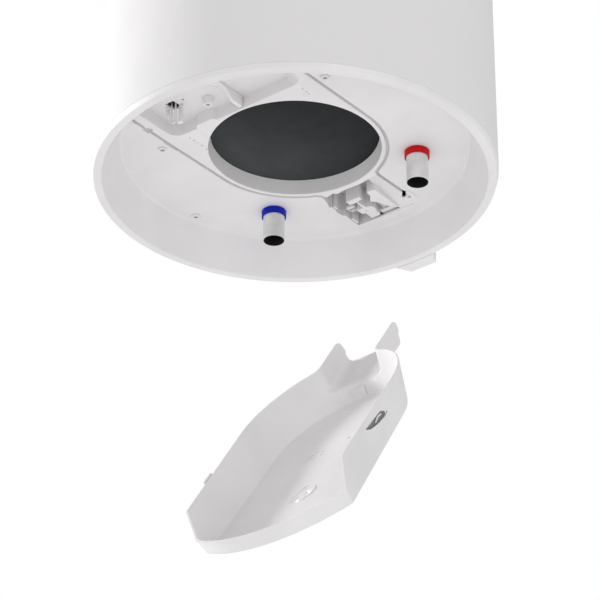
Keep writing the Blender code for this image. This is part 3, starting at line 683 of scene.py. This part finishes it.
def carve_lines(cap):
    """The recess for the left clip's tongue, and two thin raised lines."""
    tongue = rectangle(-118.7, -113.5, -116.0, -88.5)
    carve(cap, slab("tongue_recess", tongue, FLOOR_Z - 2.0, GROOVE_TOP, 0.0))
    step = [(-69.0, -109.0, FLOOR_Z), (-67.0, -97.0, FLOOR_Z), (-69.0, -83.0, FLOOR_Z)]
    carve(cap, swept("plate_line", step, 0.55, HEATER, 8), "UNION")
    fold = [(-10.0, -158.0), (-5.0, -150.0), (3.0, -144.0), (11.0, -147.0), (19.0, -148.5)]
    carve(cap, swept("roof_line", at_height(fold, POCKET_Z), 0.6, HEATER, 8), "UNION")


# ---- pipes, disc and wall parts
def disc_piece():
    """The dark sheet behind the round opening, with a softened edge."""
    disc = rod("dark_disc", COLLAR_R + WALL - 0.5, DISC_Z, DISC_Z + 2.5, (0, 0), 0.5, ROUND)
    finish_piece(disc, "heater", "service_disc", DISC)


def pipe_pieces():
    """The two stubs with rolled ends and near-black painted shade inside their bores, and the coloured
    rings against the floor.
    """
    stubs = (
        (-1, "cold", "cold_inlet_pipe", BLUE, "blue_plastic", 190.0, 4.5),
        (1, "hot", "hot_outlet_pipe", RED, "red_plastic", 600.0, 2.6),
    )
    for side, name, node, colour, slot, top, end in stubs:
        centre = (side * PIPE_X, PIPE_Y)
        run = [(PIPE_BORE, top), (PIPE_BORE, end + 0.5), (PIPE_BORE + 0.15, end + 0.1)]
        run += [(PIPE_BORE + 0.35, end), (PIPE_R - 0.35, end), (PIPE_R - 0.1, end + 0.15)]
        run += [(PIPE_R, end + 0.5), (PIPE_R, top)]
        pipe = turned(name + "_stub", run, centre, SMALL)
        finish_piece(pipe, "heater", node, PIPE)
        pipe.data.materials.append(PIPE_BORE_PAINTED_SHADE)
        middle = HEATER @ Vector((*centre, 0.0))
        # Faces inside the bore take the near-black painted shade.
        for face in pipe.data.polygons:
            away = (face.center - middle).to_2d().length
            face.material_index = int(away < (PIPE_BORE + 0.4) * MM)
        low, high = FLOOR_Z - 9.7, FLOOR_Z - GAP
        inner = PIPE_R + GAP
        band = [(inner, high), (inner, low + 0.3), (inner + 0.3, low), (RING_R - 0.5, low)]
        band += [(RING_R, low + 0.5), (RING_R, high - 0.4), (RING_R - 0.4, high)]
        ring = turned(name + "_band", band, centre, SMALL)
        finish_piece(ring, "heater", name + "_ring", colour)


def screw_pieces():
    """The cap's fixing screws with cross recesses, each in a low raised boss."""
    for index, (x, y) in enumerate(((-129.0, -103.0), (129.0, -103.0), (-200.5, 45.2)), 1):
        low, high = FLOOR_Z - 2.4, FLOOR_Z - GAP
        ring = [(2.7, high), (2.7, low + 0.4), (3.1, low), (4.6, low), (5.2, low + 0.5), (5.5, high)]
        boss = turned(f"boss_{index}", ring, (x, y), 40)
        finish_moulding(boss, f"cap_screw_boss_{index}")
        head = [(0, high - 0.2), (2.2, high - 0.2), (2.2, low + 0.9), (1.5, low + 0.65), (0, low + 0.6)]
        screw = turned(f"screw_{index}", head, (x, y), 32)
        for size in ((1.5, 0.3), (0.3, 1.5)):
            cross = rectangle(x - size[0], y - size[1], x + size[0], y + size[1])
            carve(screw, slab("cross", cross, low - 1.0, low + 1.1, 0.05))
        finish_piece(screw, "heater", f"cap_screw_{index}", STEEL)


def wall_pieces():
    """The spacer foot at the rim with its ribs, and the pressed hanging bracket."""
    outline = fillet([(-31.5, 244.0), (31.5, 244.0), (20.0, WALL_Y), (-20.0, WALL_Y)], [0, 0, 2.0, 2.0], 4)
    foot = slab("wall_foot", outline, -0.8, 26.0, 0.8)
    for x in (-9.0, 9.0):
        carve(foot, slab("foot_recess", rectangle(x - 6.0, 255.5, x + 6.0, 261.5), -2.0, -0.5, 0.1))
    carve(foot, rod("foot_clear", JACKET_R + GAP, 7.6, 60, (0, 0), 0.0, ROUND))
    carve(foot, rod("rim_clear", RIM_R - 1.2, -20, 9.0, (0, 0), 0.0, ROUND))
    finish_moulding(foot, "wall_spacer")

    middle = (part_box("wall_bracket")[0].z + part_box("wall_bracket")[1].z) / 2 / MM - AXIS.z / MM
    plate = fillet(rectangle(-150.0, middle - 30, 150.0, middle + 30), 8.0, 6)
    bracket = upright_slab("hanging_bracket", plate, WALL_Y - 3.0, WALL_Y, 0.5)
    for side in (-1, 1):
        leg = fillet(rectangle(side * 90 - 12, 215.0, side * 90 + 12, WALL_Y - 1.0), 1.5, 4)
        carve(bracket, slab("leg", leg, middle - 25, middle + 25, 0.8), "UNION")
        slot = arc((side * 130.0, middle + 7), 5.0, 0, 180, 10)
        slot += arc((side * 130.0, middle - 7), 5.0, 180, 360, 10)
        carve(bracket, upright_slab("slot", slot, WALL_Y - 9, WALL_Y + 6, 0.0))
    carve(bracket, rod("jacket_clear", JACKET_R + GAP, middle - 60, middle + 60, (0, 0), 0.0, ROUND))
    finish_piece(bracket, "heater", "wall_bracket", STEEL)


# ---- fittings in the pocket and the well
def pocket_pieces():
    """Hook with its flat brace, screw post and divider in the front pocket."""
    roof = POCKET_Z - GAP
    root = POCKET_Z + 5.5
    bar = [(-74.6, root), (-74.6, 46.5), (-74.3, 42.5), (-73.0, 40.0)]
    bar += [(-71.0, 39.4), (-69.2, 40.6), (-68.4, 43.5), (-68.2, root)]
    hook = swept("hook_loop", [(x, -149.0, z) for x, z in bar], 1.45, steps=14)
    brace = slab("hook_brace", fillet(rectangle(-65.5, -146.5, -59.5, -143.5), 0.8), 39.0, roof, 0.5)
    toe = slab("hook_toe", fillet(rectangle(-66.5, -149.0, -58.5, -143.0), 1.0), 38.0, 40.6, 0.5)
    carve(brace, toe, "UNION")
    wedge = [(-84.0, 63.5), (-78.5, 63.5), (-78.5, 52.0), (-80.5, 52.0)]
    rib = loft("hook_rib", [[(x, y, z) for x, z in wedge] for y in (-150.5, -148.0)])
    piece = join("pocket_hook", [hook, brace, rib])
    finish_moulding(piece, "front_hook")

    spot = (-27.5, -135.5)
    shape = [(2.6, roof - 2.0), (2.6, 55.4), (3.1, 54.8), (4.9, 54.8), (5.5, 55.4), (6.1, 60.0)]
    shape += [(7.0, roof), (0.0, roof), (0.0, roof - 2.0)]
    post = turned("post", shape, spot, 40)
    finish_moulding(post, "screw_post")

    fin = [(y, FLOOR_Z + 2.0 if y > -131.0 else roof - 3.0) for y in (-112.6, -130.0)]
    fin += [(-143.0, roof - 4.5), (-168.0, roof - 1.2), (-168.0, roof), (-112.6, roof)]
    divider = across_slab("divider", fillet(fin, [0.5, 4.0, 6.0, 0.3, 0.0, 0.0], 4), 3.6, 8.4, HEATER)
    finish_moulding(divider, "pocket_divider")


def well_pieces():
    """Comb, bridge, ribs and cable clamp in the well."""
    comb = [(6.2, 138.1), (12.5, 137.3), (18.6, 138.6), (18.0, 191.5), (14.5, 188.3), (10.1, 186.4)]
    comb += [(8.0, 179.2), (5.1, 174.0), (3.4, 166.0), (-3.2, 157.9), (4.5, 148.0), (5.3, 143.0)]
    body = slab("comb", fillet(comb, 0.6, 3), FLOOR_Z, WELL_Z - GAP, 0.4)
    for y in (174.5, 179.5, 184.5):
        finger = fillet(rectangle(-3.5, y - 0.9, 9.5, y + 0.9), 0.5, 3)
        carve(body, slab("finger", finger, FLOOR_Z + 5.0, WELL_Z - GAP, 0.3), "UNION")
    finish_moulding(body, "cable_comb")

    bridge = [(-29.2, 140.3), (-7.3, 140.4), (-8.6, 147.6), (-13.8, 147.6), (-16.9, 149.5), (-16.1, 165.5)]
    bridge += [(-9.1, 168.0), (-7.4, 176.0), (-10.7, 180.5), (-12.3, 191.7), (-25.9, 191.7), (-25.6, 177.2)]
    bridge += [(-30.2, 176.4), (-30.1, 165.0), (-20.6, 164.6), (-18.6, 149.3), (-28.7, 149.0)]
    body = slab("bridge", fillet(bridge, 0.6, 3), FLOOR_Z, 74.0, 0.4)
    carve(body, rod("bridge_dot", 0.9, FLOOR_Z - 1, FLOOR_Z + 4, (-20.3, 172.5), 0.0, 20))
    finish_moulding(body, "cable_bridge")

    for index, (low, high) in enumerate(((140.0, 147.0), (178.0, 191.0)), 1):
        rib = fillet(rectangle(-50.0, low, -46.8, high), 0.7, 3)
        rib = slab(f"rib_{index}", rib, FLOOR_Z + 0.6, WELL_Z - GAP, 0.5)
        finish_moulding(rib, f"well_rib_{index}")

    strap = fillet(rectangle(-43.0, 158.0, -31.0, 170.0), 1.6, 4)
    clamp = slab("clamp", strap, 52.0, 57.0, 0.7)
    for index, x in enumerate((-39.5, -33.8), 1):
        carve(clamp, rod("clamp_hole", 1.7, 45, 65, (x, 164.0), 0.0, 24))
        profile = [(0, 49.9), (1.5, 49.9), (2.4, 50.6), (2.4, 51.7), (1.4, 51.7), (1.4, 69.5), (0, 70.0)]
        screw = turned(f"clamp_bolt_{index}", profile, (x, 164.0), 32)
        carve(screw, slab("bolt_slot", rectangle(x - 3, 163.7, x + 3, 164.3), 49.0, 50.6, 0.05))
        finish_piece(screw, "heater", f"clamp_screw_{index}", STEEL)
    finish_moulding(clamp, "cable_clamp")


# ---- the loose cover
def lean(height):
    """How far down the cover's wall a height lies: 0 at the rim, 1 at the bottom."""
    return (COVER_RIM_Z - height) / (COVER_RIM_Z - COVER_BOTTOM_Z)


def tray_loop(height, wall, z=None):
    """The round-backed tray's outline at one height; its walls lean in lower down."""
    waist = COVER_HALF - COVER_DRAFT * lean(height) - wall
    corner = COVER_HALF - CORNER_DRAFT * lean(height) - wall
    front_y = TRAY_CORNER_Y + 3.5 * lean(height) + wall
    side = [(waist + (corner - waist) * i / 12, front_y * i / 12) for i in range(1, 12)]
    front = bowed_edge(corner, front_y, COVER_BOW, 44)
    outline = arc((0, 0), waist, 0, 180, 90) + [(-x, y) for x, y in side] + front + side[::-1]
    radii = [0] * len(outline)
    first = 91 + 11
    radii[first] = radii[first + len(front) - 1] = max(0.8, 3.2 - wall)
    return at_height(fillet(outline, radii, 5), height if z is None else z)


def neck_loop(height, wall, z=None):
    """The neck's outline at one height, from inside the tray to past its open back."""
    waist = COVER_HALF - COVER_DRAFT * lean(height) - wall
    half = NECK_HALF - NECK_DRAFT * lean(height) - wall
    radius = EAR_FILLET + wall
    x = half + radius
    y = math.sqrt((waist + radius) ** 2 - x ** 2)
    angle = math.atan2(y, x)
    right = [(reach * math.cos(angle), reach * math.sin(angle)) for reach in (0.8 * waist, waist - 0.2)]
    right += arc((x, y), radius, 180 + math.degrees(angle), 180, 12)[1:]
    end_y = NECK_END_Y + 14.0 + wall
    right += [(half, y + (end_y - y) * i / 6) for i in range(1, 7)]
    outline = right + [(-x, y) for x, y in reversed(right)]
    return at_height(outline, height if z is None else z)


def steps_up(section, low, high, wall, count=12):
    """Sections at even heights between low and high."""
    return [section(low + (high - low) * i / count, wall) for i in range(count + 1)]


def cover_shell():
    """The tray and its raised neck, hollowed with softly rounded inside corners."""
    low, high, wall = COVER_BOTTOM_Z, COVER_RIM_Z, COVER_WALL
    loops = [tray_loop(low, 3.2), tray_loop(low, 1.9, low + 0.15), tray_loop(low, 0.9, low + 0.6)]
    loops += [tray_loop(low + 1.4, 0.3)] + steps_up(tray_loop, low + 3.0, high - 0.5, 0.0)
    tray = loft("cover_tray", loops + [tray_loop(high, 0.5)], COVER)
    loops = neck_foot(SHELF_Z - wall, 10.5, 0.0) + steps_up(neck_loop, 28.0, high - 0.5, 0.0)
    carve(tray, loft("neck_outside", loops + [neck_loop(high, 0.5)], COVER), "UNION")

    floor, above = low + wall, high + 9.0
    loops = [tray_loop(floor, wall + 2.2), tray_loop(floor + 0.2, wall + 1.2)]
    loops += [tray_loop(floor + 0.9, wall + 0.35)] + steps_up(tray_loop, floor + 2.0, high - 0.5, wall)
    loops += [tray_loop(high, wall - 0.5), tray_loop(high, wall - 0.5, above)]
    carve(tray, loft("tray_inside", loops, COVER))
    loops = neck_foot(SHELF_Z, 8.5, wall) + steps_up(neck_loop, 28.5, high - 0.5, wall)
    loops += [neck_loop(high, wall - 0.5), neck_loop(high, wall - 0.5, above)]
    carve(tray, loft("neck_inside", loops, COVER))
    return carve(tray, riser_edge())


def neck_foot(low, round_off, wall):
    """Sections through the broad rounding between the neck's floor and its side walls."""
    loops = []
    for i in range(10):
        turn = math.radians(9.0 * i)
        height = low + round_off * (1.0 - math.cos(turn))
        loops.append(neck_loop(height, wall + round_off * (1.0 - math.sin(turn))))
    return loops


def riser_edge():
    """The cutting tool that rounds over the edge between the tray's riser and the shelf."""
    section = [(94.0, 9.0), (100.6, 9.0), (101.9, 12.0), (103.4, 14.6), (105.6, 16.8), (108.6, 18.2)]
    section += [(112.4, SHELF_Z + 0.05), (112.4, 23.0), (94.0, 23.0)]
    loops = []
    for i in range(41):
        turn = math.radians(60.0 + 1.5 * i)
        loops.append([(radius * math.cos(turn), radius * math.sin(turn), z) for radius, z in section])
    tool = loft("riser_edge", loops, COVER)
    keep = [neck_loop(8.0, COVER_WALL + 9.5, 8.0), neck_loop(24.0, COVER_WALL + 7.5, 24.0)]
    for loop in keep:
        loop[0] = (loop[0][0] * 0.8, loop[0][1] * 0.8, loop[0][2])
        loop[-1] = (loop[-1][0] * 0.8, loop[-1][1] * 0.8, loop[-1][2])
    return carve(tool, loft("riser_keep", keep, COVER), "INTERSECT")


def cover_piece():
    """The loose cover with its cut front, low back, ears, window and floor."""
    tray = cover_shell()
    slope = [(-260.0, COVER_FRONT_RIM_Z), (COVER_CORNER_Y, COVER_FRONT_RIM_Z)]
    slope += [(COVER_FRONT_Y, COVER_RIM_Z + 0.1), (COVER_FRONT_Y, 90.0), (-260.0, 90.0)]
    carve(tray, across_slab("front_cut", slope, -150.0, 150.0))
    bow = [(50.0, 171.0), (38.0, 175.0), (29.0, 177.1), (20.0, 178.6), (10.0, 179.6)]
    back = [(50.0, 220.0), (-50.0, 220.0)] + [(-x, y) for x, y in bow] + [(0.0, 179.9)] + bow[::-1]
    carve(tray, slab("back_cut", back, 10.0, 20.3, 0.05, COVER))
    ear = [(220.0, 19.6), (172.5, 19.6), (172.3, 26.0), (173.6, 31.5), (178.0, 34.0), (179.5, 42.0)]
    ear += [(178.9, 45.5), (176.3, 48.4), (172.5, 49.65), (171.0, 60.0), (220.0, 60.0)]
    carve(tray, across_slab("ear_cut", fillet(ear, [0, 1, 2, 2, 3, 3, 2, 1, 0, 0, 0], 4), -80.0, 80.0))
    window = [(-103.3, 40.6), (-89.3, 33.1), (-68.7, 28.0), (-45.9, 24.6), (-34.5, 25.6)]
    window += [(-52.5, 36.3), (-72.4, 38.1)]
    carve(tray, across_slab("window_cut", fillet(window, [0.8, 6, 6, 1.5, 1.2, 2.0, 8], 4), 98.0, 130.0))
    carve_floor(tray)
    finish_piece(tray, "cover", "bottom_cover", COVER_PLASTIC)


def carve_floor(tray):
    """The step, pad, marks and latch in the cover's floor."""
    floor = COVER_BOTTOM_Z + COVER_WALL
    step = [(-23.5, 69.5), (33.0, 69.5), (30.5, 76.5), (21.0, 78.5), (0.0, 84.5), (-23.0, 87.0)]
    carve(tray, slab("floor_step", fillet(step, 1.0, 3), floor - 1.0, floor + 0.8, 0.25, COVER), "UNION")
    pad = [(-12.0, 98.2), (8.0, 98.2), (8.0, 104.8), (-12.0, 104.8)]
    foot = [(x, y - 3.6 * (y < 100.0), floor - 1.0) for x, y in pad]
    carve(tray, loft("riser_pad", [foot, at_height(pad, 13.5)], COVER), "UNION")
    for mark in floor_marks():
        carve(tray, slab("floor_mark", mark, floor - 1.0, floor + 0.9, 0.15, COVER), "UNION")
    for ridge in latch_ridges():
        carve(tray, ridge, "UNION")
    for outline in latch_slits():
        carve(tray, slab("latch_cut", outline, -10.0, 5.0, 0.0, COVER))


def floor_marks():
    """Small plain bars and dots embossed inside the cover's floor."""
    bars = [rectangle(x, -33.0, x + 2.2, -17.0) for x in (-34.0, -28.5, -23.0)]
    dots = [arc((x, y), 2.0, 0, 330, 11) for x, y in ((-12.0, -28.0), (-12.0, -21.0), (21.0, -8.0))]
    return bars + dots


def latch_slits():
    """Two curved see-through slits that leave an S-shaped latch in the cover's floor."""
    first = [(-5.5, -136.0), (3.5, -141.5), (6.0, -137.0), (1.5, -133.5), (2.0, -127.5), (-4.0, -125.0)]
    second = [(6.5, -124.5), (15.5, -129.5), (17.5, -119.5), (11.5, -115.5), (3.0, -110.0)]
    second += [(1.5, -113.5), (9.0, -119.0)]
    return fillet(first, 1.2), fillet(second, 1.2)


def latch_ridges():
    """The raised lines that border the latch."""
    first = [(-9.5, -136.0), (-10.0, -127.0), (-6.5, -119.0), (-1.5, -112.0), (0.0, -106.5), (6.0, -105.5)]
    second = [(9.0, -140.0), (13.5, -134.5), (19.0, -131.0), (21.0, -124.0), (20.5, -116.0), (16.5, -110.0)]
    floor = COVER_BOTTOM_Z + COVER_WALL
    return [swept("latch_ridge", at_height(path, floor), 1.25, COVER, 10) for path in (first, second)]


def cover_clips():
    """The two clips on the cover's sides; the right one is joined to a painted shade sheet behind the
    window.
    """
    edge = -COVER_HALF - GAP
    knob = fillet(rectangle(-114.0, 38.0, -88.0, 47.4), 2.4, 4)
    loops = []
    for x, shrink in ((edge, 0.0), (edge - 3.8, 0.0), (edge - 5.2, 0.7), (edge - 5.7, 1.9)):
        loops.append([(x, y, z) for y, z in offset(knob, -shrink)])
    left = loft("left_clip", loops, COVER)
    tongue = fillet(rectangle(-112.0, 44.5, -90.0, 51.9), [0, 0, 1.8, 1.8], 4)
    carve(left, across_slab("clip_tongue", tongue, edge - 1.15, edge), "UNION")
    finish_piece(left, "cover", "cover_clip_left", COVER_PLASTIC)
    path = [(109.9, -71.0, 31.2), (109.7, -66.0, 32.4), (109.6, -60.4, 33.3), (109.5, -55.0, 32.4)]
    path.append((109.4, -51.0, 31.4))
    right = swept("right_clip", path, 1.2, COVER, 12)
    strap_faces = len(right.data.polygons)
    right = join("right_clip", [right, window_painted_shade()])
    finish_piece(right, "cover", "cover_clip_right", COVER_PLASTIC)
    # The joined sheet's faces take the mid-grey painted shade.
    right.data.materials.append(PAINTED_SHADE_GREY)
    for face in right.data.polygons:
        face.material_index = int(face.index >= strap_faces)


def window_painted_shade():
    """A thin mid-grey sheet joined to the right clip, close behind the window: a dark sheet that stands in
    for the shade inside the cover.
    """
    corners = [(-100.0, 24.5), (-36.0, 23.0), (-38.0, 38.5), (-100.0, 42.5)]
    loops = []
    for wall in (COVER_WALL + 1.3, COVER_WALL + 2.1):
        loop = []
        for y, z in corners:
            waist = COVER_HALF - COVER_DRAFT * lean(z)
            corner = COVER_HALF - CORNER_DRAFT * lean(z)
            loop.append((waist + (corner - waist) * y / -195.0 - wall, y, z))
        loops.append(loop)
    return loft("window_painted_shade_leaf", loops, COVER)


def plain_parts():
    """Parts that keep their drawn shape and take a better surface."""
    surfaces = {
        "inner_tank": TANK, "tank_flange_ring": TANK, "flange_plate": TANK, "foam_insulation": FOAM,
        "flange_gasket": RUBBER, "heating_element": COPPER, "sensor_pocket": COPPER,
        "magnesium_anode": ANODE, "thermostat_body": BLACK, "terminal_block": BLACK,
        "thermostat_knob": PLASTIC, "reset_button": BUTTON,
    }
    surfaces.update({f"flange_bolt_{index}": STEEL for index in range(1, 7)})
    for name, material in surfaces.items():
        node = bpy.data.objects[name]
        for index in range(len(node.data.materials)):
            node.data.materials[index] = material


jacket_pieces()
cap_piece()
disc_piece()
pipe_pieces()
screw_pieces()
wall_pieces()
pocket_pieces()
well_pieces()
cover_piece()
cover_clips()
plain_parts()


# ---- stage, light and camera
def build_stage():
    """A pale floor far below the hanging heater."""
    size, height = 60.0, -9.0
    shape = bmesh.new()
    corners = [(-size, -size), (size, -size), (size, size), (-size, size)]
    shape.faces.new([shape.verts.new((x, y, height)) for x, y in corners])
    floor = to_object("floor", shape, Matrix.Identity(4))
    material, tree, shader = new_material("pale_floor", (0.86, 0.86, 0.86), 0.8)
    tone = blend_colours(tree, noise(tree, 0.8, 3.0), (0.84, 0.84, 0.84), (0.88, 0.88, 0.88))
    tree.links.new(tone, shader.inputs["Base Color"])
    shader.inputs["Emission Color"].default_value = (1.0, 1.0, 1.0, 1.0)
    shader.inputs["Emission Strength"].default_value = 0.40
    floor.data.materials.append(material)


def add_lamp(name, toward, size, energy):
    """A round soft lamp, aimed at the heater's underside from a direction."""
    toward = Vector(toward)
    lamp = bpy.data.lights.new(name, "AREA")
    lamp.shape = "DISK"
    lamp.size = size
    lamp.energy = energy
    stand = bpy.data.objects.new(name, lamp)
    stand.location = AXIS + Vector((0.0, 0.0, -0.15)) + toward * LAMP_DISTANCE
    stand.rotation_euler = (-toward).to_track_quat("-Z", "Y").to_euler()
    bpy.context.scene.collection.objects.link(stand)


def build_light():
    """A soft key from the left, a weak fill from the right and a studio dome that is brighter below."""
    add_lamp("key", (-0.914, -0.309, 0.264), 0.7, 118.0)
    add_lamp("fill", (0.86, -0.48, 0.12), 2.0, 13.0)
    world = bpy.data.worlds.new("studio")
    world.use_nodes = True
    bpy.context.scene.world = world
    tree = world.node_tree
    place = tree.nodes.new("ShaderNodeTexCoord")
    split = tree.nodes.new("ShaderNodeSeparateXYZ")
    tree.links.new(place.outputs["Generated"], split.inputs[0])
    ramp = tree.nodes.new("ShaderNodeMapRange")
    ramp.inputs["From Min"].default_value = -0.6
    ramp.inputs["From Max"].default_value = 0.6
    ramp.inputs["To Min"].default_value = 0.93
    ramp.inputs["To Max"].default_value = 0.60
    tree.links.new(split.outputs["Z"], ramp.inputs["Value"])
    dome = tree.nodes["Background"]
    dome.inputs["Color"].default_value = (1.0, 1.0, 1.0, 1.0)
    tree.links.new(ramp.outputs["Result"], dome.inputs["Strength"])
    seen = tree.nodes.new("ShaderNodeBackground")
    seen.inputs["Color"].default_value = (1.0, 1.0, 1.0, 1.0)
    seen.inputs["Strength"].default_value = 1.0
    path = tree.nodes.new("ShaderNodeLightPath")
    either = tree.nodes.new("ShaderNodeMixShader")
    tree.links.new(path.outputs["Is Camera Ray"], either.inputs[0])
    tree.links.new(dome.outputs[0], either.inputs[1])
    tree.links.new(seen.outputs[0], either.inputs[2])
    tree.links.new(either.outputs[0], tree.nodes["World Output"].inputs["Surface"])


def build_camera():
    """A long lens looking up from below, to the left of straight on."""
    data = bpy.data.cameras.new("camera")
    data.lens = 185.3
    data.sensor_width = 36.0
    data.clip_end = 200.0
    camera = bpy.data.objects.new("camera", data)
    camera.location = AXIS + Vector((2.0357, -2.5309, -2.0275))
    camera.rotation_euler = (math.radians(119.778), 0.0, math.radians(38.7))
    bpy.context.scene.collection.objects.link(camera)
    bpy.context.scene.camera = camera


bpy.context.scene.view_settings.view_transform = "Standard"
build_stage()
build_light()
build_camera()
